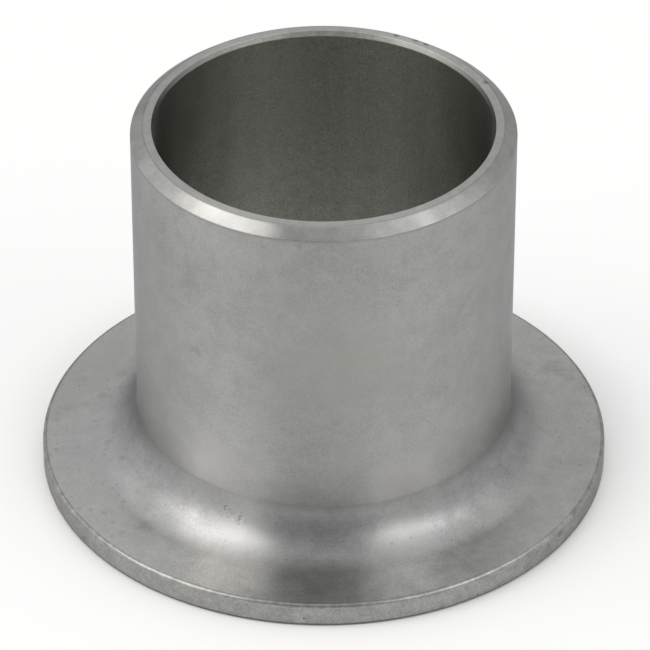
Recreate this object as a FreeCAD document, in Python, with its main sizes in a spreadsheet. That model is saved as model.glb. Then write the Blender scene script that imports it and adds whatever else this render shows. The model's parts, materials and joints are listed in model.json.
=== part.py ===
import FreeCAD, Part
import math
import os
import Sketcher

# Lap joint stub end, short pattern, for a 1 1/2 inch (DN 40) pipe line.
# One turned piece of stainless steel: a straight length of tube whose top end is bevelled
# for a butt weld, and whose foot is flared out through a generous fillet into a flat round
# lap. A loose backing flange slides down over the tube and seats on the back of the lap,
# which presses the flat underside, the gasket face, against its mate.
#
# Frame, in millimetres: the origin is the centre of the gasket face, and +Z runs up the
# bore to the weld end. The piece is a solid of revolution about Z.

NODE = "stub_end"

# Driving dimensions: alias, value in mm (or degrees), what it measures.
SIZES = [
    ("tube_diameter", 48.3, "outside of the tube, the same as the pipe that is welded to it"),
    ("tube_wall", 2.9, "wall of the tube"),
    ("overall_length", 50.8, "from the gasket face to the weld end"),
    ("lap_diameter", 73.0, "outside of the lap"),
    ("lap_thickness", 3.2, "from the gasket face to the back of the lap"),
    ("neck_fillet", 6.0, "radius between the tube and the back of the lap"),
    ("bevel_angle", 37.5, "weld bevel, in degrees from the flat of the weld end"),
    ("root_face", 1.15, "flat ring left at the weld end, measured across the wall"),
    ("taper_width", 0.25, "inner taper of the weld end, measured across the wall"),
    ("taper_depth", 0.7, "inner taper of the weld end, measured along the bore"),
    ("back_edge_radius", 0.5, "rounding of the lap's edge on the flange's side"),
    ("face_edge_break", 0.2, "chamfer of the lap's edge on the gasket's side"),
    ("bore_corner_radius", 0.8, "rounding where the bore meets the gasket face"),
]

# Worked-out sizes that several features share: alias, formula on the cells above. The neck
# fillet is limited by the ledge it stands on, less a flat and the edge's own rounding.
FORMULAS = [
    ("tube_radius", "=tube_diameter / 2"),
    ("bore_radius", "=tube_radius - tube_wall"),
    ("lap_radius", "=lap_diameter / 2"),
    ("ledge", "=lap_radius - tube_radius"),
    ("neck_radius", "=min(neck_fillet; ledge - 2 * back_edge_radius)"),
]

# Sketcher's names for a line's two ends and for the sketch's own axes and origin.
START = 1
END = 2
AXIS = -1
TOLERANCE = 1e-6


def fill_sheet(document):
    """Give every driving and shared size a cell of its own, under its alias."""
    sheet = document.addObject("Spreadsheet::Sheet", "sizes")
    for row, (alias, value, meaning) in enumerate(SIZES, start=1):
        sheet.set("A%d" % row, alias)
        sheet.set("B%d" % row, str(value))
        sheet.set("C%d" % row, meaning)
        sheet.setAlias("B%d" % row, alias)
    document.recompute()
    for row, (alias, formula) in enumerate(FORMULAS, start=len(SIZES) + 1):
        sheet.set("A%d" % row, alias)
        sheet.set("B%d" % row, formula)
        sheet.setAlias("B%d" % row, alias)
        document.recompute()
    return sheet


def wall_section(body, sheet):
    """Sketch the lathe section on the body's XZ plane: x is the radius, y is the height.

    The outline runs outwards along the gasket face, over the lap, up the tube, in along
    the bevel and the root face, and back down the bore.
    """
    sketch = body.newObject("Sketcher::SketchObject", "wall_section")
    plane = next(item for item in body.Origin.OriginFeatures if item.Role == "XZ_Plane")
    sketch.AttachmentSupport = [(plane, "")]
    sketch.MapMode = "FlatFace"

    bore = sheet.bore_radius
    tube = sheet.tube_radius
    land_inside = bore + sheet.taper_width
    land_outside = land_inside + sheet.root_face
    bevel_depth = (tube - land_outside) * math.tan(math.radians(sheet.bevel_angle))
    top = sheet.overall_length
    corners = [
        (bore, 0),
        (sheet.lap_radius, 0),
        (sheet.lap_radius, sheet.lap_thickness),
        (tube, sheet.lap_thickness),
        (tube, top - bevel_depth),
        (land_outside, top),
        (land_inside, top),
        (bore, top - sheet.taper_depth),
    ]
    points = [FreeCAD.Vector(radius, height, 0) for radius, height in corners]
    gasket_face, lap_rim, lap_back, tube_side, bevel, land, taper, bore_side = range(len(points))
    for start, end in zip(points, points[1:] + points[:1]):
        sketch.addGeometry(Part.LineSegment(start, end), False)
    for line in range(len(points)):
        following = (line + 1) % len(points)
        sketch.addConstraint(Sketcher.Constraint("Coincident", line, END, following, START))
    for line in (gasket_face, lap_back, land):
        sketch.addConstraint(Sketcher.Constraint("Horizontal", line))
    for line in (lap_rim, tube_side, bore_side):
        sketch.addConstraint(Sketcher.Constraint("Vertical", line))
    sketch.addConstraint(Sketcher.Constraint("PointOnObject", gasket_face, START, AXIS))

    # Each held size: name, kind, the two line ends it runs between, its cell or formula.
    origin = (AXIS, START)
    held = [
        ("bore", "DistanceX", origin, (bore_side, END), "sizes.bore_radius"),
        ("tube", "DistanceX", origin, (tube_side, START), "sizes.tube_radius"),
        ("lap", "DistanceX", origin, (lap_rim, START), "sizes.lap_radius"),
        ("taper_out", "DistanceX", (taper, END), (taper, START), "sizes.taper_width"),
        ("root", "DistanceX", (land, END), (land, START), "sizes.root_face"),
        ("thickness", "DistanceY", origin, (lap_back, START), "sizes.lap_thickness"),
        ("length", "DistanceY", origin, (land, START), "sizes.overall_length"),
        ("taper_down", "DistanceY", (taper, END), (taper, START), "sizes.taper_depth"),
    ]
    for name, kind, (line_a, end_a), (line_b, end_b), source in held:
        span = sketch.getPoint(line_b, end_b) - sketch.getPoint(line_a, end_a)
        value = span.x if kind == "DistanceX" else span.y
        index = sketch.addConstraint(Sketcher.Constraint(kind, line_a, end_a, line_b, end_b, value))
        sketch.renameConstraint(index, name)
        sketch.setExpression("Constraints." + name, source)
    slope = math.radians(180 - sheet.bevel_angle)
    index = sketch.addConstraint(Sketcher.Constraint("Angle", bevel, slope))
    sketch.renameConstraint(index, "slope")
    sketch.setExpression("Constraints.slope", "180 deg - sizes.bevel_angle * 1 deg")
    return sketch


def turned_blank(body, sketch):
    """Revolve the section a full turn about Z, the sketch's own vertical axis."""
    blank = body.newObject("PartDesign::Revolution", "turned_blank")
    blank.Profile = sketch
    blank.ReferenceAxis = (sketch, ["V_Axis"])
    blank.Angle = 360
    return blank


def edge_at(shape, radius, height):
    """The name of the full circle about Z that has this radius and height."""
    for number, edge in enumerate(shape.Edges, start=1):
        curve = edge.Curve
        if not isinstance(curve, Part.Circle):
            continue
        if abs(curve.Radius - radius) < TOLERANCE and abs(curve.Center.z - height) < TOLERANCE:
            return "Edge%d" % number
    raise RuntimeError("no round edge of radius %.3f at height %.3f" % (radius, height))


def rounded(body, base, name, radius, height, source):
    """Round the circular edge of the base feature at this radius and height."""
    body.Document.recompute()
    fillet = body.newObject("PartDesign::Fillet", name)
    fillet.Base = (base, [edge_at(base.Shape, radius, height)])
    fillet.setExpression("Radius", source)
    return fillet


def broken(body, base, name, radius, height, source):
    """Break the circular edge of the base feature at this radius and height with a chamfer."""
    body.Document.recompute()
    chamfer = body.newObject("PartDesign::Chamfer", name)
    chamfer.Base = (base, [edge_at(base.Shape, radius, height)])
    chamfer.setExpression("Size", source)
    return chamfer


def stub_end(document, sheet):
    """The whole piece: the turned section, its neck fillet and its three eased edges."""
    body = document.addObject("PartDesign::Body", NODE)
    body.Label = NODE
    body.Placement = FreeCAD.Placement()
    sketch = wall_section(body, sheet)
    blank = turned_blank(body, sketch)
    back_height = sheet.lap_thickness
    neck = rounded(body, blank, "neck", sheet.tube_radius, back_height, "sizes.neck_radius")
    back = rounded(body, neck, "back_edge", sheet.lap_radius, back_height, "sizes.back_edge_radius")
    face = broken(body, back, "face_edge", sheet.lap_radius, 0, "sizes.face_edge_break")
    corner = rounded(body, face, "bore_corner", sheet.bore_radius, 0, "sizes.bore_corner_radius")
    document.recompute()
    body.Tip = corner
    document.recompute()
    if not sketch.FullyConstrained:
        raise RuntimeError("the section sketch isn't fully held")
    return body


def check(document, pieces):
    """Stop if any object failed, or if a piece isn't one sound solid."""
    for item in document.Objects:
        if "Invalid" in item.State or "Error" in item.State:
            raise RuntimeError("%s failed: %s" % (item.Label, item.State))
    for piece in pieces:
        shape = piece.Shape
        if shape.isNull() or not shape.isValid() or len(shape.Solids) != 1:
            raise RuntimeError("%s isn't one valid solid" % piece.Label)


document = FreeCAD.newDocument("lap_joint_stub_end")
sheet = fill_sheet(document)
pieces = [stub_end(document, sheet)]
check(document, pieces)
os.makedirs("parts", exist_ok=True)
for piece in pieces:
    piece.Shape.exportStep("parts/%s.step" % piece.Label)
    box = piece.Shape.optimalBoundingBox(False)
    print("%s: %.1f mm3" % (piece.Label, piece.Shape.Volume))
    print("box: %.2f x %.2f x %.2f mm" % (box.XLength, box.YLength, box.ZLength))
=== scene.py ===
import json
import math

import bpy
import numpy as np
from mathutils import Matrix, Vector


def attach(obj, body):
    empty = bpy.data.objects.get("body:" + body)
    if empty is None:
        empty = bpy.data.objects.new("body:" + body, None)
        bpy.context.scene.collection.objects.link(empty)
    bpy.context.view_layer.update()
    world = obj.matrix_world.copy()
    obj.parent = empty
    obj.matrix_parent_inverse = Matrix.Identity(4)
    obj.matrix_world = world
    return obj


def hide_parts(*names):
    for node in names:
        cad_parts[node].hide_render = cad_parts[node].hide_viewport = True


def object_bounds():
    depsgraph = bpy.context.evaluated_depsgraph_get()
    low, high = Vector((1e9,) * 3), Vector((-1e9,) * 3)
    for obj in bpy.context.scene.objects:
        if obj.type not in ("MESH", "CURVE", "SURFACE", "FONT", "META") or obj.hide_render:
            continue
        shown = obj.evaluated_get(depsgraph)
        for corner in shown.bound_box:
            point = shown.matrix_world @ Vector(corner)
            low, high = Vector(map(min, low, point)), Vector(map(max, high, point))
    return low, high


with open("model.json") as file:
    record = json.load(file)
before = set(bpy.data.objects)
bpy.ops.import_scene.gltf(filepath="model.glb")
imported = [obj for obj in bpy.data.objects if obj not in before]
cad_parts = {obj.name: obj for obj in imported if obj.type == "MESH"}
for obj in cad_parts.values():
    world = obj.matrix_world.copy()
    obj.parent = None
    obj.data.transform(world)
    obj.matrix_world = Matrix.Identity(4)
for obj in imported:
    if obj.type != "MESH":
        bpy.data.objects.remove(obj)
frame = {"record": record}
cad_low, cad_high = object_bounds()


# Stub end
# One piece of stainless steel tube with its foot flared out into a flat round lap. It is turned
# on a lathe, so its shape is one section, drawn here zone by zone and carried round the axis.
# The sizes come from the frame: the box, and the bore, tube and lap that its mounts measure.
MM = 0.001
mounts = {mount["name"]: mount for mount in frame["record"]["mounts"]}
lap_radius = cad_high.x
length = cad_high.z
tube_radius = mounts["tube_outside"]["dims"]["r_mm"] * MM
bore_radius = mounts["pipe_bore"]["dims"]["r_mm"] * MM
tube_middle = mounts["tube_outside"]["pos_m"][2]
tube_straight = mounts["tube_outside"]["dims"]["length_mm"] * MM
lap_back = mounts["lap_back"]["pos_m"][2]
neck_radius = tube_middle - tube_straight / 2 - lap_back
bevel_foot = tube_middle + tube_straight / 2

section = []
finishes = []


def add(name, points):
    """Add a stretch to the section, under the name of its finish."""
    section.append(points)
    finishes.extend([name] * len(points))


# Gasket face
# The flat underside that seals against its mate, faced off with fine concentric grooves
# between the rounded mouth of the bore and the broken edge of the lap.
BORE_CORNER = 0.8 * MM
FACE_EDGE = 0.2 * MM
GROOVE_PITCH = 0.8 * MM
GROOVE_DEPTH = 0.04 * MM
FACE_DARK = (0.30, 0.30, 0.295)
FACE_BRIGHT = (0.40, 0.398, 0.388)
face_inside = bore_radius + BORE_CORNER
face_outside = lap_radius - FACE_EDGE
grooves = int((face_outside - face_inside) / GROOVE_PITCH)
groove_ends = np.linspace(face_inside, face_outside, grooves + 1)
# Each groove has a flat crest, then falls to its valley and rises to the next crest.
profile = np.array([(0.02, 0), (0.5, 0), (0.75, 1)]) * (1, GROOVE_DEPTH)
width = groove_ends[1] - groove_ends[0]
radii = (groove_ends[:-1, None] + width * profile[:, 0]).ravel()
add("serrated_face", np.stack([radii, np.tile(profile[:, 1], grooves)], axis=1))
add("serrated_face", np.array([(face_outside, 0)]))


def step(tree, kind, inputs=None, **settings):
    """One shader node: its own settings, then each input as a link or as a plain value."""
    item = tree.nodes.new("ShaderNode" + kind)
    for name, value in settings.items():
        setattr(item, name, value)
    for name, value in (inputs or {}).items():
        if isinstance(value, bpy.types.NodeSocket):
            tree.links.new(value, item.inputs[name])
        else:
            item.inputs[name].default_value = value
    return item


def steel(name, lay, edge_tint):
    """A bare steel finish; lay is how far its highlights stretch across the turning lines.

    The tangent runs round the axis, as the tool does, and a quarter turn of the anisotropy
    spreads the shine across the lines and keeps it sharp along them. The edge tint colours
    the steel where it is seen at a grazing angle.
    """
    material = bpy.data.materials.new(name)
    material.use_nodes = True
    tree = material.node_tree
    shader = tree.nodes["Principled BSDF"]
    shader.inputs["Metallic"].default_value = 1
    shader.inputs["Specular Tint"].default_value = (*edge_tint, 1)
    shader.inputs["Anisotropic"].default_value = lay
    shader.inputs["Anisotropic Rotation"].default_value = 0.25
    tangent = step(tree, "Tangent", direction_type="RADIAL", axis="Z")
    tree.links.new(tangent.outputs["Tangent"], shader.inputs["Tangent"])
    return material, tree, shader


def ramp(tree, value, start, end, low=0.0, high=1.0):
    """A smooth step from low to high as value goes from start to end."""
    inputs = {"Value": value, "From Min": start, "From Max": end, "To Min": low, "To Max": high}
    return step(tree, "MapRange", inputs, interpolation_type="SMOOTHSTEP").outputs["Result"]


def mottle(tree, blob, octaves=4, stretch=(1, 1, 1), start=(0, 0, 0), fade=0.75):
    """Cloudy noise in the piece's own space, its middle range spread out to run from 0 to 1.

    Its largest clouds have the size blob, in mm, and each octave halves that. Fade is how much
    of the strength each octave keeps.
    """
    place = step(tree, "TexCoord").outputs["Object"]
    moved = step(tree, "Mapping", {"Vector": place, "Location": start, "Scale": stretch})
    inputs = {
        "Vector": moved.outputs["Vector"],
        "Scale": 1 / (blob * MM),
        "Detail": octaves,
        "Roughness": fade,
    }
    return ramp(tree, step(tree, "TexNoise", inputs).outputs["Fac"], 0.3, 0.7)


def turning(tree, pitch, octaves=1):
    """Tool lines right round the piece: noise of the distance along the section, pitch in mm."""
    along = step(tree, "Attribute", attribute_name="along").outputs["Fac"]
    inputs = {"W": along, "Scale": 1 / (pitch * MM), "Detail": octaves, "Roughness": 0.6}
    noise = step(tree, "TexNoise", inputs, noise_dimensions="1D").outputs["Fac"]
    return ramp(tree, noise, 0.3, 0.7)


def weighed(tree, layers):
    """The sum of the layers, each times its weight."""
    total = 0.0
    for layer, weight in layers:
        inputs = {0: layer, 1: weight, 2: total}
        total = step(tree, "Math", inputs, operation="MULTIPLY_ADD").outputs["Value"]
    return total


def painted(tree, under, cover, over, share=1):
    """The colour under, with the plain colour over laid on it as far as cover times share."""
    if share != 1:
        cover = weighed(tree, [(cover, share)])
    mix = step(tree, "Mix", data_type="RGBA")
    tree.links.new(cover, mix.inputs["Factor"])
    if isinstance(under, bpy.types.NodeSocket):
        tree.links.new(under, mix.inputs[6])
    else:
        mix.inputs[6].default_value = under
    mix.inputs[7].default_value = (*over, 1)
    return mix.outputs[2]


def tinted(tree, layer, dark, bright):
    """A colour between dark, where the layer is 0, and bright, where it is 1."""
    return painted(tree, (*dark, 1), layer, bright)


def uneven(tree, shader, layer, first, last):
    """Roughness that goes from first, where the layer is 0, to last, where it is 1."""
    tree.links.new(ramp(tree, layer, 0, 1, first, last), shader.inputs["Roughness"])


def relief(tree, shader, height, depth):
    """Fine relief: the height layer, 0 to 1, as a bump of the given depth in mm."""
    bump = step(tree, "Bump", {"Height": height, "Distance": depth * MM, "Strength": 1})
    tree.links.new(bump.outputs["Normal"], shader.inputs["Normal"])


serrated_face, tree, shader = steel("serrated_face", lay=0.9, edge_tint=(0.7, 0.7, 0.7))
wear = weighed(tree, [(mottle(tree, 7.0), 0.5), (turning(tree, 0.12), 0.5)])
colour = tinted(tree, wear, FACE_DARK, FACE_BRIGHT)
tree.links.new(colour, shader.inputs["Base Color"])
uneven(tree, shader, wear, 0.28, 0.32)
relief(tree, shader, wear, 0.0005)


# Rim
# The lap's outer edge, turned down to size with a plain tool: a short cylinder with its back
# edge rounded over and its face edge just broken. It is chipped and bitten here and there, and
# its foot is darkened with painted shade where it meets the table.
BACK_EDGE = 0.5 * MM
SUPPORT = 0.05 * MM
RIM_DARK = (0.245, 0.245, 0.237)
RIM_BRIGHT = (0.465, 0.463, 0.45)
EDGE_DARK = (0.24, 0.24, 0.232)
EDGE_BRIGHT = (0.43, 0.428, 0.417)
CHIP = (0.16, 0.155, 0.145)
BITE = (0.15, 0.145, 0.135)
RIM_FOOT_SHADE = (0.12, 0.118, 0.112)
# Centre and radius in mm, as for all the patches that follow.
BITTEN = [((30.0, -20.8, 2.3), 1.3), ((28.4, -22.9, 1.8), 0.8), ((-30.3, -20.3, 1.0), 0.9)]


def straight(start, end, rows):
    """Points on a straight run, its start left out: evenly spaced between two support rows.

    A support row lies a set distance inside each end, so that shading on the run stays flat.
    """
    start, end = np.array(start), np.array(end)
    near = SUPPORT / np.linalg.norm(end - start)
    share = np.r_[np.linspace(near, 1 - near, rows), 1]
    return start + share[:, None] * (end - start)


def bend(centre, radius, start_angle, end_angle, rows):
    """Points on a round, its start left out: centre plus radius times (cos a, sin a), a in degrees."""
    angle = np.radians(np.linspace(start_angle, end_angle, rows + 1))[1:]
    return np.array(centre) + radius * np.stack([np.cos(angle), np.sin(angle)], axis=1)


add("turned_rim", np.array([(lap_radius, FACE_EDGE)]))
add("turned_rim", straight((lap_radius, FACE_EDGE), (lap_radius, lap_back - BACK_EDGE), 5))
add("rounded_edge", bend((lap_radius - BACK_EDGE, lap_back - BACK_EDGE), BACK_EDGE, 0, 90, 8))


def place_on(tree):
    """The place on the piece, as three outputs X, Y and Z in metres."""
    return step(tree, "SeparateXYZ", {"Vector": step(tree, "TexCoord").outputs["Object"]}).outputs


def product(tree, first, second):
    """Two layers multiplied, so that only what is in both is left."""
    return step(tree, "Math", {0: first, 1: second}, operation="MULTIPLY").outputs["Value"]


def spots(tree, spacing, radius, share, start=(0, 0, 0)):
    """Scattered dots, 1 inside and 0 outside: small balls, one to a cell, that the surface cuts.

    Spacing and radius are in mm; share is the part of the cells that have a ball. A dot fades
    out over the outer half of its radius.
    """
    place = step(tree, "TexCoord").outputs["Object"]
    moved = step(tree, "Mapping", {"Vector": place, "Location": start}).outputs["Vector"]
    cells = step(tree, "TexVoronoi", {"Vector": moved, "Scale": 1 / (spacing * MM)}).outputs
    reach = radius / spacing
    dot = ramp(tree, cells["Distance"], reach, reach / 2)
    picked = step(tree, "SeparateColor", {"Color": cells["Color"]}).outputs["Red"]
    chosen = step(tree, "Math", {0: picked, 1: share}, operation="LESS_THAN").outputs["Value"]
    return product(tree, dot, chosen)


def mark(tree, centre, radius, ragged=None, soft=0.5):
    """A round mark about a point of the piece, 1 within and 0 beyond; centre and radius in mm.

    Soft is the part of the radius over which it fades out. A noise layer given as ragged eats
    into its outline.
    """
    place = step(tree, "TexCoord").outputs["Object"]
    point = [value * MM for value in centre]
    reach = step(tree, "VectorMath", {0: place, 1: point}, operation="DISTANCE").outputs["Value"]
    if ragged is not None:
        reach = weighed(tree, [(reach, 1), (ragged, radius * MM)])
    return ramp(tree, reach, radius * MM, radius * MM * (1 - soft))


def patched(tree, colour, patches, over, share, ragged=None, soft=0.5):
    """The colour, with a mark of the plain colour over laid on it at each patch, as far as share."""
    for centre, radius in patches:
        patch = mark(tree, centre, radius, ragged, soft)
        colour = painted(tree, colour, patch, over, share)
    return colour


turned_rim, tree, shader = steel("turned_rim", lay=0.7, edge_tint=(0.6, 0.6, 0.61))
grain = mottle(tree, 2.5, octaves=4, fade=0.8)
sand = mottle(tree, 0.25, octaves=2)
wear = weighed(tree, [(grain, 0.4), (sand, 0.5), (turning(tree, 0.25, octaves=2), 0.1)])
colour = tinted(tree, wear, RIM_DARK, RIM_BRIGHT)
chips = spots(tree, 2.6, 0.22, 0.5)
colour = painted(tree, colour, chips, CHIP)
colour = patched(tree, colour, BITTEN, BITE, 0.6, ragged=sand)
# Painted shade: the rim is darkened along its foot, where it meets the table.
painted_foot_shade = ramp(tree, place_on(tree)["Z"], 0.5 * MM, 0.1 * MM)
colour = painted(tree, colour, painted_foot_shade, RIM_FOOT_SHADE)
tree.links.new(colour, shader.inputs["Base Color"])
uneven(tree, shader, wear, 0.42, 0.38)
relief(tree, shader, wear, 0.001)

rounded_edge, tree, shader = steel("rounded_edge", lay=0.9, edge_tint=(0.6, 0.6, 0.61))
grain = mottle(tree, 1.5, octaves=5, fade=0.9)
colour = tinted(tree, grain, EDGE_DARK, EDGE_BRIGHT)
tree.links.new(colour, shader.inputs["Base Color"])
uneven(tree, shader, grain, 0.285, 0.276)
relief(tree, shader, grain, 0.0005)


# Lap and neck
# The flat ring that the loose flange seats on, and the round that joins it to the tube. Both
# were turned in one cut, so that the tool lines fan the light out from the axis. Handling has
# scuffed them and left specks, and water has stained the left of the lap. Patches of painted
# highlight and painted dark reflection lie on them where the fan of light falls.
LAP_DARK = (0.21, 0.21, 0.211)
LAP_BRIGHT = (0.63, 0.629, 0.61)
NECK_EVEN = (0.352, 0.352, 0.36)
NECK_HIGHLIGHT = (0.5, 0.5, 0.5)
NECK_TOP_LIGHT = (0.46, 0.458, 0.45)
LAP_CLEAN = (0.483, 0.483, 0.475)
LAP_LEFT_LIGHT = (0.55, 0.55, 0.558)
WATER_DROP = (0.3, 0.299, 0.285)
DRIED_WATER = (0.5, 0.5, 0.475)
SCRATCH = (0.1, 0.098, 0.09)
BLOT = (0.2, 0.199, 0.19)
TARNISH = (0.27, 0.268, 0.24)
LAP_SPECK = (0.14, 0.138, 0.13)
PAINTED_LAP_HIGHLIGHTS = [((-11.6, -28.4, 3.2), 9.5), ((9.1, -29.6, 3.2), 6.5)]
PAINTED_LAP_DARK_REFLECTIONS = [((18.0, -26.0, 3.5), 9.0), ((0.0, -33.0, 3.2), 7.0)]
PAINTED_NECK_HIGHLIGHTS = [((-10.7, -23.9, 5.4), 6.0), ((10.0, -24.4, 5.3), 4.5)]
SCRATCHED = [((-12.3, -21.6, 6.5), 1.5), ((-10.5, -22.6, 6.1), 1.5)]
TARNISHED = [((30.3, 13.0, 3.2), 6.0), ((33.7, 7.2, 3.2), 4.0)]
lap_inside = tube_radius + neck_radius
neck_centre = (lap_inside, lap_back + neck_radius)
add("turned_lap", straight((lap_radius - BACK_EDGE, lap_back), (lap_inside, lap_back), 6))
add("turned_lap", bend(neck_centre, neck_radius, 270, 180, 28))

turned_lap, tree, shader = steel("turned_lap", lay=1.0, edge_tint=(0.6, 0.6, 0.6))
place = place_on(tree)
level = step(tree, "CombineXYZ", {"X": place["X"], "Y": place["Y"]}).outputs["Vector"]
from_axis = step(tree, "VectorMath", {0: level}, operation="LENGTH").outputs["Value"]
flat = ramp(tree, from_axis, 26 * MM, 29 * MM)
left = ramp(tree, place["X"], -15 * MM, -26 * MM)
right = ramp(tree, place["X"], 15 * MM, 26 * MM)
# Painted light: the left of the flat lap is made paler where the left lamps fall on it.
painted_left_light = product(tree, left, flat)
clean = product(tree, right, flat)
grain = mottle(tree, 3.0, octaves=4, fade=0.75)
sand = mottle(tree, 0.25, octaves=2)
lines = turning(tree, 0.14, octaves=2)
wear = [(grain, 0.26), (sand, 0.28), (lines, 0.12), (flat, 0.32), (painted_left_light, 0.13)]
# Painted highlights lighten the lap and neck at the front left and right, and painted dark reflections
# darken the lap at the front.
wear += [(mark(tree, centre, radius, soft=1.0), 0.22) for centre, radius in PAINTED_LAP_HIGHLIGHTS]
wear += [(mark(tree, centre, radius, soft=1.0), -0.17) for centre, radius in PAINTED_LAP_DARK_REFLECTIONS]
colour = tinted(tree, weighed(tree, wear), LAP_DARK, LAP_BRIGHT)
# The neck is evener than the lap. Two patches of painted highlight lie on it, and it is painted paler
# towards the tube as painted light.
on_neck = ramp(tree, from_axis, 31 * MM, 26 * MM)
colour = painted(tree, colour, on_neck, NECK_EVEN, 0.45)
colour = patched(tree, colour, PAINTED_NECK_HIGHLIGHTS, NECK_HIGHLIGHT, 0.5, soft=1.0)
near_tube = ramp(tree, place["Z"], 6.5 * MM, 9 * MM)
colour = painted(tree, colour, near_tube, NECK_TOP_LIGHT, 0.25)
# The right of the lap is clean. The left of the lap is painted paler as painted light from the
# lamps on that side; water has left drops on it, and has dried beyond a ragged shore at the back left.
colour = painted(tree, colour, clean, LAP_CLEAN, 0.4)
colour = painted(tree, colour, painted_left_light, LAP_LEFT_LIGHT, 0.45)
for spacing, radius, share in ((1.6, 0.5, 0.6), (3.4, 1.0, 0.8)):
    drops = spots(tree, spacing, radius, share, start=(0.4, 0.2, 0.9))
    colour = painted(tree, colour, product(tree, drops, left), WATER_DROP, 0.3)
ragged_shore = mottle(tree, 4.0, octaves=4)
ashore = weighed(tree, [(place["X"], 0.74), (place["Y"], -0.67), (ragged_shore, 5.0 * MM)])
dried = ramp(tree, ashore, -24.0 * MM, -24.6 * MM)
colour = painted(tree, colour, dried, DRIED_WATER, 0.5)
scratches = ramp(tree, mottle(tree, 0.3, octaves=3, stretch=(0.35, 1, 1)), 0.55, 0.85)
rubbed = [(mark(tree, centre, radius, soft=1.0), 1) for centre, radius in SCRATCHED]
colour = painted(tree, colour, product(tree, weighed(tree, rubbed), scratches), SCRATCH, 0.6)
colour = patched(tree, colour, [((-23.3, -20.8, 3.2), 3.2)], BLOT, 0.3, ragged=grain, soft=0.9)
colour = patched(tree, colour, [((-25.3, -7.2, 4.6), 1.8)], BLOT, 0.3, ragged=grain)
colour = patched(tree, colour, TARNISHED, TARNISH, 0.2, ragged=grain, soft=0.9)
specks = spots(tree, 1.3, 0.13, 0.4, start=(0.3, 0.1, 0.7))
colour = painted(tree, colour, specks, LAP_SPECK, 0.8)
tree.links.new(colour, shader.inputs["Base Color"])
uneven(tree, shader, grain, 0.286, 0.276)
relief(tree, shader, grain, 0.0005)


# Tube
# The straight wall keeps the skin of the drawn and pickled tube: dull, a little cloudy, with
# a few dark specks where scale was pickled out. Its foot is worn smoother. Painted reflections
# make the foot lighter, most of all in two patches on both sides of the front, make the sides
# lighter and make the front warmer.
BEVEL_ANGLE = 37.5
SHARP_EDGE = 0.06 * MM
SHARP_ROWS = 3
TAPER_WIDTH = 0.25 * MM
TAPER_DEPTH = 0.7 * MM
TUBE_DARK = (0.283, 0.285, 0.283)
TUBE_BRIGHT = (0.673, 0.667, 0.649)
TUBE_WARM = (0.37, 0.366, 0.342)
FOOT_REFLECTION = (0.56, 0.54, 0.53)
UNDER_BEVEL = (0.2, 0.198, 0.19)
SCUFF = (0.24, 0.235, 0.21)
SCALE_SPECK = (0.15, 0.147, 0.14)
PAINTED_FOOT_REFLECTIONS = [((-14.2, -19.5, 12.0), 7.0), ((10.4, -21.8, 11.0), 7.0)]
SCUFFED = [
    ((1.5, -24.1, 21.9), 1.6),
    ((-15.9, -18.2, 29.0), 1.4),
    ((17.6, -16.5, 43.8), 0.6),
    ((-7.3, -23.0, 48.0), 0.8),
    ((-2.8, -24.0, 48.7), 0.9),
]


def eased(corner, before, after, radius):
    """A small round at a corner of the section, as a quadratic curve between its two runs.

    It starts and ends at the radius from the corner, along the runs before and after it.
    """
    corner, before, after = np.array(corner), np.array(before), np.array(after)
    start = corner + radius * (before - corner) / np.linalg.norm(before - corner)
    end = corner + radius * (after - corner) / np.linalg.norm(after - corner)
    t = np.linspace(0, 1, SHARP_ROWS + 1)[:, None]
    return (1 - t) ** 2 * start + 2 * t * (1 - t) * corner + t**2 * end


bevel_width = (length - bevel_foot) / math.tan(math.radians(BEVEL_ANGLE))
foot_corner = (tube_radius, bevel_foot)
crest_corner = (tube_radius - bevel_width, length)
lip_corner = (bore_radius + TAPER_WIDTH, length)
hip_corner = (bore_radius, length - TAPER_DEPTH)
tube_foot = (tube_radius, lap_back + neck_radius)
foot = eased(foot_corner, tube_foot, crest_corner, SHARP_EDGE)
add("pickled_tube", straight(tube_foot, foot[0], 12))

pickled_tube, tree, shader = steel("pickled_tube", lay=1.0, edge_tint=(0.57, 0.57, 0.585))
place = place_on(tree)
height = place["Z"]
clouds = mottle(tree, 9.0, octaves=2)
grain = mottle(tree, 2.5, octaves=4, start=(0.2, 0.6, 0.4), fade=0.75)
sand = mottle(tree, 0.25, octaves=2)
painted_foot_reflection = ramp(tree, height, 28 * MM, 12 * MM)
painted_low_foot_reflection = ramp(tree, height, 12.5 * MM, 9 * MM)
aside = step(tree, "Math", {0: place["X"]}, operation="ABSOLUTE").outputs["Value"]
painted_side_reflection = product(tree, ramp(tree, aside, 19 * MM, 23 * MM), ramp(tree, height, 16 * MM, 28 * MM))
dulled = mark(tree, (-12.0, -21.0, 38.0), 14.0, soft=1.0)
# Painted reflections: the skin is lighter towards the foot and on the sides above it.
skin = [(clouds, 0.08), (grain, 0.12), (sand, 0.18)]
skin += [(painted_foot_reflection, 0.12), (painted_low_foot_reflection, 0.07), (painted_side_reflection, 0.1), (dulled, -0.08)]
colour = tinted(tree, weighed(tree, skin), TUBE_DARK, TUBE_BRIGHT)
# The warm tone is random clouds, plus a painted warm reflection on the front.
warm_clouds = mottle(tree, 14.0, octaves=2, start=(0.5, 0.2, 0.1))
painted_warm_reflection = mark(tree, (3.0, -24.0, 30.0), 14.0, soft=1.0)
warm_tone_and_reflection = weighed(tree, [(warm_clouds, 0.3), (painted_warm_reflection, 0.5)])
colour = painted(tree, colour, warm_tone_and_reflection, TUBE_WARM)
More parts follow.
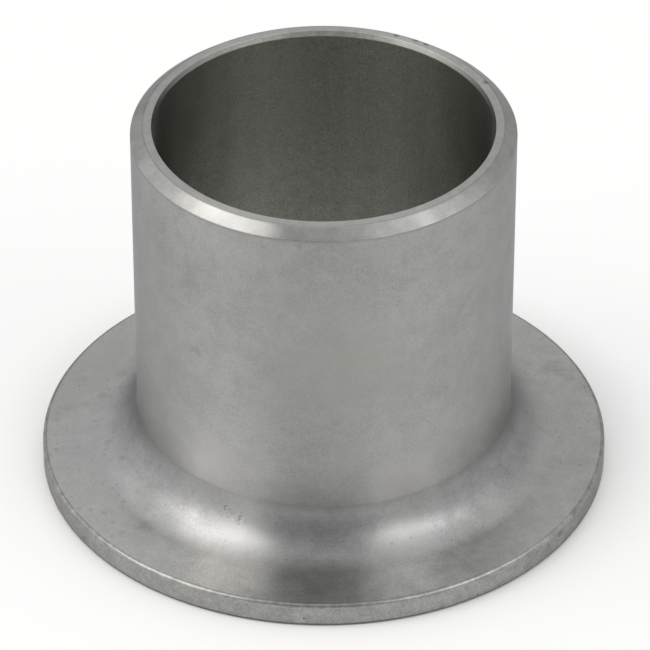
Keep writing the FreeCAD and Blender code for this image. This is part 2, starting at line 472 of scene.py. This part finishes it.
# Painted reflections: two patches make the foot lighter on both sides of the front.
colour = patched(tree, colour, PAINTED_FOOT_REFLECTIONS, FOOT_REFLECTION, 0.38, soft=1.0)
below_bevel = ramp(tree, height, bevel_foot - 0.5 * MM, bevel_foot - 0.1 * MM)
colour = painted(tree, colour, below_bevel, UNDER_BEVEL, 0.35)
colour = patched(tree, colour, SCUFFED, SCUFF, 0.35, ragged=grain)
specks = spots(tree, 2.4, 0.16, 0.3, start=(0.1, 0.4, 0.8))
colour = painted(tree, colour, specks, SCALE_SPECK, 0.6)
tree.links.new(colour, shader.inputs["Base Color"])
smooth_foot = ramp(tree, height, 17 * MM, 9 * MM)
uneven(tree, shader, smooth_foot, 0.3, 0.276)
relief(tree, shader, grain, 0.0008)


# Weld end
# The end is machined for a butt weld: a bevel, a narrow flat land, and a slight taper that
# brings the bore to size. The tool leaves it bright, with crisp edges that have a few nicks.
CREST_ROUND = 0.14 * MM
LIP_ROUND = 0.03 * MM
BEVEL_DARK = (0.29, 0.289, 0.281)
BEVEL_BRIGHT = (0.425, 0.423, 0.413)
BEVEL_HIGHLIGHT = (0.45, 0.448, 0.437)
LAND_DARK = (0.42, 0.419, 0.408)
LAND_BRIGHT = (0.56, 0.558, 0.545)
TAPER_DARK = (0.6, 0.59, 0.562)
TAPER_BRIGHT = (0.75, 0.738, 0.705)
TAPER_HIGHLIGHT = (0.92, 0.9, 0.84)
NICK = (0.12, 0.118, 0.11)
NICKED = [
    ((9.3, 20.4, 50.8), 0.55),
    ((11.8, 19.2, 50.8), 0.55),
    ((13.1, 18.3, 50.8), 0.55),
    ((20.5, 9.4, 50.8), 0.55),
]
crest = eased(crest_corner, foot_corner, lip_corner, CREST_ROUND)
lip = eased(lip_corner, crest_corner, hip_corner, LIP_ROUND)
hip = eased(hip_corner, lip_corner, (bore_radius, 0), SHARP_EDGE)
add("machined_bevel", foot[1:])
add("machined_bevel", straight(foot[-1], crest[0], 5))
add("machined_bevel", crest[1:])
add("faced_land", straight(crest[-1], lip[0], 5))
add("faced_land", lip[1:])
add("bored_taper", straight(lip[-1], hip[0], 3))
add("bored_taper", hip[1:])

machined_bevel, tree, shader = steel("machined_bevel", lay=0.95, edge_tint=(0.66, 0.66, 0.67))
grain = mottle(tree, 3.0, octaves=3, fade=0.7)
sand = mottle(tree, 0.25, octaves=2)
wear = weighed(tree, [(grain, 0.5), (sand, 0.35), (turning(tree, 0.12, octaves=2), 0.15)])
colour = tinted(tree, wear, BEVEL_DARK, BEVEL_BRIGHT)
# A painted highlight lightens the bevel at the front left.
colour = patched(tree, colour, [((-12.5, -19.5, 50.0), 10.0)], BEVEL_HIGHLIGHT, 0.4, soft=1.0)
colour = patched(tree, colour, NICKED, NICK, 0.6)
tree.links.new(colour, shader.inputs["Base Color"])
uneven(tree, shader, grain, 0.298, 0.282)
relief(tree, shader, grain, 0.0005)

faced_land, tree, shader = steel("faced_land", lay=0.95, edge_tint=(0.8, 0.8, 0.81))
grain = mottle(tree, 1.5, octaves=4, fade=0.85)
wear = weighed(tree, [(grain, 0.6), (turning(tree, 0.1, octaves=2), 0.4)])
colour = tinted(tree, wear, LAND_DARK, LAND_BRIGHT)
colour = patched(tree, colour, NICKED, NICK, 0.6)
tree.links.new(colour, shader.inputs["Base Color"])
uneven(tree, shader, grain, 0.31, 0.29)
relief(tree, shader, grain, 0.0003)

bored_taper, tree, shader = steel("bored_taper", lay=0.95, edge_tint=(0.9, 0.9, 0.9))
grain = mottle(tree, 1.5)
colour = tinted(tree, grain, TAPER_DARK, TAPER_BRIGHT)
# A painted highlight lightens the taper at the back right.
colour = patched(tree, colour, [((16.0, 14.0, 50.4), 13.0)], TAPER_HIGHLIGHT, 0.6, soft=1.0)
tree.links.new(colour, shader.inputs["Base Color"])
uneven(tree, shader, grain, 0.23, 0.21)
relief(tree, shader, grain, 0.0003)


# Bore
# The inside of the tube, honed smooth, greyer and warmer than the outside. Its long soft
# streaks run down the bore, and it rounds over into the gasket face.
BORE_DARK = (0.35, 0.351, 0.321)
BORE_BRIGHT = (0.66, 0.659, 0.62)
BORE_SPECK = (0.16, 0.155, 0.14)
add("honed_bore", straight(hip[-1], (bore_radius, BORE_CORNER), 12))
add("honed_bore", bend((bore_radius + BORE_CORNER, BORE_CORNER), BORE_CORNER, 180, 270, 8))

honed_bore, tree, shader = steel("honed_bore", lay=0.9, edge_tint=(1.0, 1.0, 1.0))
streaks = mottle(tree, 5.0, octaves=3, stretch=(1, 1, 0.06))
grain = mottle(tree, 1.5, octaves=3)
sand = mottle(tree, 0.22, octaves=2)
skin = weighed(tree, [(streaks, 0.15), (grain, 0.2), (sand, 0.65)])
colour = tinted(tree, skin, BORE_DARK, BORE_BRIGHT)
specks = spots(tree, 2.2, 0.14, 0.3, start=(0.7, 0.2, 0.5))
colour = painted(tree, colour, specks, BORE_SPECK, 0.7)
tree.links.new(colour, shader.inputs["Base Color"])
uneven(tree, shader, grain, 0.26, 0.24)
relief(tree, shader, grain, 0.0003)


# Turned surface
# The section is carried round the axis as one closed skin, and each quad takes the finish of
# the stretch that it lies on. It stands for the frame's node in every view.
# Each point is (r cos a, r sin a, height), with a round the axis and (r, height) along the
# section, and each quad joins two neighbouring rows and two neighbouring angles.
SEGMENTS = 480
section = np.concatenate(section)
rows = len(section)
angles = np.linspace(0, 2 * math.pi, SEGMENTS, endpoint=False)
radius_grid = np.repeat(section[:, :1], SEGMENTS, axis=1)
height_grid = np.repeat(section[:, 1:], SEGMENTS, axis=1)
surface = np.stack([radius_grid * np.cos(angles), radius_grid * np.sin(angles), height_grid], axis=2)
row, column = np.meshgrid(np.arange(rows), np.arange(SEGMENTS), indexing="ij")
next_row = (row + 1) % rows
next_column = (column + 1) % SEGMENTS
corners = [
    row * SEGMENTS + column,
    row * SEGMENTS + next_column,
    next_row * SEGMENTS + next_column,
    next_row * SEGMENTS + column,
]
quads = np.stack(corners, axis=2).reshape(-1, 4)
mesh = bpy.data.meshes.new("stub_end_turned")
mesh.from_pydata(surface.reshape(-1, 3), [], quads)
mesh.polygons.foreach_set("use_smooth", np.ones(len(quads), dtype=bool))

# Distance along the section, which the tool lines follow.
hops = np.linalg.norm(np.diff(section, axis=0), axis=1)
distance = np.r_[0, np.cumsum(hops)]
along = mesh.attributes.new("along", "FLOAT", "POINT")
along.data.foreach_set("value", np.repeat(distance, SEGMENTS).astype(np.float32))

materials = [
    serrated_face,
    turned_rim,
    rounded_edge,
    turned_lap,
    pickled_tube,
    machined_bevel,
    faced_land,
    bored_taper,
    honed_bore,
]
slot_of = {}
for number, material in enumerate(materials):
    mesh.materials.append(material)
    slot_of[material.name] = number
# A quad lies between its own row and the next one, whose finish it takes.
finish_of_row = np.array([slot_of[name] for name in finishes[1:] + finishes[:1]], dtype=np.int32)
mesh.polygons.foreach_set("material_index", np.repeat(finish_of_row, SEGMENTS))
mesh.update()
stub_end = bpy.data.objects.new("stub_end_turned", mesh)
bpy.context.scene.collection.objects.link(stub_end)
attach(stub_end, "root")
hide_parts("stub_end")


# Floor
# A plain white table top that the piece stands on, wide enough to fill the view. It is lit by
# the lamps and keeps the piece's shadow. Away from the piece, camera, glossy and transmission
# rays see it mixed half and half with plain white.
FLOOR_HALF_WIDTH = 4.0
FLOOR_GAP = 0.05 * MM
FLOOR_WHITE = 0.94
FLOOR_GLOW = 0.5
FLOOR_FADE = 10 * MM
floor_mesh = bpy.data.meshes.new("floor")
floor_signs = [(-1, -1), (1, -1), (1, 1), (-1, 1)]
floor_points = [(x * FLOOR_HALF_WIDTH, y * FLOOR_HALF_WIDTH, -FLOOR_GAP) for x, y in floor_signs]
floor_mesh.from_pydata(floor_points, [], [(0, 1, 2, 3)])
floor = bpy.data.objects.new("floor", floor_mesh)
bpy.context.scene.collection.objects.link(floor)
paper = bpy.data.materials.new("white_table")
paper.use_nodes = True
tree = paper.node_tree
paper_shader = tree.nodes["Principled BSDF"]
paper_shader.inputs["Base Color"].default_value = (FLOOR_WHITE, FLOOR_WHITE, FLOOR_WHITE, 1)
paper_shader.inputs["Roughness"].default_value = 0.9
paper_shader.inputs["Specular IOR Level"].default_value = 0.0
place = step(tree, "TexCoord").outputs["Object"]
from_axis = step(tree, "VectorMath", {0: place}, operation="LENGTH").outputs["Value"]
clear = ramp(tree, from_axis, lap_radius, lap_radius + FLOOR_FADE, 0, FLOOR_GLOW)
ray = step(tree, "LightPath").outputs
kinds = [ray["Is Camera Ray"], ray["Is Glossy Ray"], ray["Is Transmission Ray"]]
seen = weighed(tree, [(kind, 1) for kind in kinds])
glow = step(tree, "Emission", {"Color": (1, 1, 1, 1), "Strength": 1})
mixed = step(tree, "MixShader", {"Fac": product(tree, clear, seen)})
tree.links.new(paper_shader.outputs["BSDF"], mixed.inputs[1])
tree.links.new(glow.outputs["Emission"], mixed.inputs[2])
tree.links.new(mixed.outputs["Shader"], tree.nodes["Material Output"].inputs["Surface"])
floor_mesh.materials.append(paper)


# Light
# Soft boxes stand in a half circle round the camera's side of the piece, four on the left,
# three on the right and a weak one in front, in a pale room that is darker towards the camera.
LAMP_DISTANCE = 0.9
WARM = (1.0, 0.975, 0.935)
CLEAR = (1.0, 1.0, 0.98)


def soft_box(name, azimuth, elevation, width, height, radiance, colour):
    """A rectangular lamp that faces the piece; azimuth 0 is the camera's side, positive is right."""
    a, e = math.radians(azimuth), math.radians(elevation)
    direction = Vector((math.sin(a) * math.cos(e), -math.cos(a) * math.cos(e), math.sin(e)))
    lamp = bpy.data.lights.new(name, "AREA")
    lamp.shape = "RECTANGLE"
    lamp.size = width
    lamp.size_y = height
    lamp.energy = math.pi * width * height * radiance
    lamp.color = colour
    holder = bpy.data.objects.new(name, lamp)
    holder.location = direction * LAMP_DISTANCE + Vector((0, 0, length / 2))
    holder.rotation_euler = direction.to_track_quat("Z", "Y").to_euler()
    bpy.context.scene.collection.objects.link(holder)


soft_box("left_soft_box", -64, 41, 0.5, 0.38, 1.5, WARM)
soft_box("left_side", -91, 40, 0.34, 0.3, 1.7, WARM)
soft_box("left_top", -73, 60, 0.64, 0.2, 2.4, WARM)
soft_box("left_back", -114, 30, 0.4, 0.3, 0.41, WARM)
soft_box("right_soft_box", 52, 42, 0.54, 0.38, 1.95, CLEAR)
soft_box("right_side", 79, 42, 0.32, 0.3, 1.15, CLEAR)
soft_box("right_back", 96, 34, 0.5, 0.4, 0.44, CLEAR)
soft_box("front_fill", 24, 40, 0.28, 0.36, 0.4, CLEAR)

ROOM_BACK = 0.616
ROOM_FRONT = 0.352
ROOM_LEFT = 0.307
ROOM_RIGHT = 0.07
ROOM_TOP = 0.364
room = bpy.data.worlds.new("room")
bpy.context.scene.world = room
room.use_nodes = True
tree = room.node_tree
background = tree.nodes["Background"]
background.inputs["Strength"].default_value = 1
direction = step(tree, "TexCoord").outputs["Generated"]
towards = step(tree, "SeparateXYZ", {"Vector": direction}).outputs
back = ramp(tree, towards["Y"], -0.75, 0.2, ROOM_FRONT, ROOM_BACK)
left = ramp(tree, towards["X"], -0.2, -0.8, 0, ROOM_LEFT)
right = ramp(tree, towards["X"], 0.2, 0.8, 0, ROOM_RIGHT)
top = ramp(tree, towards["Z"], 0.6, 1.0, 0, ROOM_TOP)
shade = weighed(tree, [(back, 1), (left, 1), (right, 1), (top, 1)])
tree.links.new(shade, background.inputs["Color"])


# Camera
# It stands where the photograph was taken from: in front and well above the piece, some way
# off with a long lens.
CAMERA_DISTANCE = 0.62984
CAMERA_ELEVATION = 35.83
CAMERA_AIM = Vector((0.00016, 0, 0.01983))
CAMERA_LENS = 272.2
SENSOR = 36.0
elevation = math.radians(CAMERA_ELEVATION)
away = Vector((0, -math.cos(elevation), math.sin(elevation)))
lens = bpy.data.cameras.new("camera")
lens.lens = CAMERA_LENS
lens.sensor_width = SENSOR
camera = bpy.data.objects.new("camera", lens)
camera.location = CAMERA_AIM + away * CAMERA_DISTANCE
camera.rotation_euler = away.to_track_quat("Z", "Y").to_euler()
bpy.context.scene.collection.objects.link(camera)
bpy.context.scene.camera = camera
bpy.context.scene.view_settings.view_transform = "Standard"
